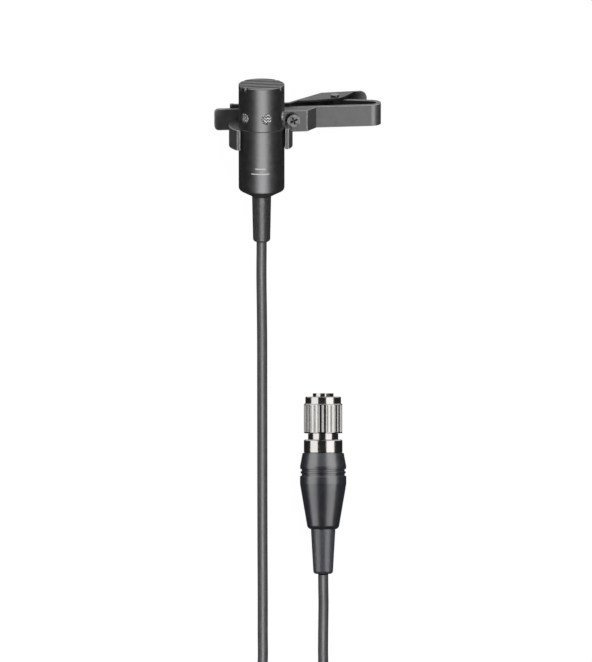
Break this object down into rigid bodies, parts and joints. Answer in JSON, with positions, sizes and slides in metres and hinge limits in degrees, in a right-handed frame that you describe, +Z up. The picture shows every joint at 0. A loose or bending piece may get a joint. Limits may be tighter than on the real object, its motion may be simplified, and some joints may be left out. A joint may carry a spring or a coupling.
{
  "type": "lavalier microphone",
  "caption": "Small cylindrical clip-on microphone in a C-shaped holder on a sprung tie clip, with a thin cord to a knurled locking connector.",
  "frame": {"origin": "centre of the bottom of the microphone and its clip, on the table they lie on", "axes": "+Z up from the table; +Y along the plug, from its boot to its tip, which is also the way the microphone's head points as seen from above, within 7 degrees; +X to the clip's right"},
  "size_m": [0.0383, 0.1744, 0.0178],
  "materials": {
    "housing": "satin",
    "mesh": "woven",
    "felt": "matte",
    "steel": "bright",
    "brass": "bright",
    "film": "gloss",
    "white_plastic": "matte",
    "board": "satin",
    "black_plastic": "satin",
    "wire": "gloss",
    "relief_rubber": "matte",
    "clip_metal": "satin",
    "screw_metal": "bright",
    "nickel": "bright",
    "boot_rubber": "satin",
    "sleeve_rubber": "matte",
    "cord_jacket": "matte",
    "tie_fabric": "woven"
  },
  "bodies": {
    "microphone": {"head_cap": "housing", "top_screen": "mesh", "port_screen": "mesh", "damping_disc": "felt", "capsule_can": "steel", "diaphragm_ring": "brass", "diaphragm": "film", "spacer_ring": "film", "back_plate": "brass", "insulator_cup": "white_plastic", "capsule_retaining_ring": "steel", "body_tube": "housing", "amp_board": "board", "board_components": "black_plastic", "lead_wires": "wire", "cable_crimp": "steel", "mic_strain_relief": "relief_rubber", "plug_shell": "nickel", "plug_insert": "black_plastic", "plug_contacts": "brass", "ring_retainer": "nickel", "rear_nut": "nickel", "cable_clamp": "steel", "plug_wires": "wire", "plug_boot": "boot_rubber", "plug_sleeve": "sleeve_rubber", "cord_to_mic": "cord_jacket", "cord_coil": "cord_jacket", "cord_to_plug": "cord_jacket", "coil_tie": "tie_fabric"},
    "clip": {"holder_clamp": "clip_metal", "holder_screw": "screw_metal", "clip_frame": "clip_metal"},
    "lever": {"clip_lever": "clip_metal", "hinge_pin": "screw_metal", "torsion_spring": "steel"},
    "ring": {"coupling_ring": "nickel"}
  },
  "joints": [
    {"name": "clip_swivel", "type": "hinge", "parent": "microphone", "child": "clip", "pos_m": [-0.01071, 0.0059, 0.00993], "axis": [-0.1126, 0.9625, 0.247], "continuous": true},
    {"name": "lever_pivot", "type": "hinge", "parent": "clip", "child": "lever", "pos_m": [0.00972, 0.01156, 0.00477], "axis": [0.1126, -0.9625, -0.247], "range_deg": [0, 24], "stiffness_Nm_per_rad": 0.05, "springref_deg": -34.38, "deforming": ["torsion_spring"]},
    {"name": "coupling_spin", "type": "hinge", "parent": "microphone", "child": "ring", "pos_m": [0.00664, -0.05713, 0.00522], "axis": [0, 1, 0], "continuous": true}
  ]
}
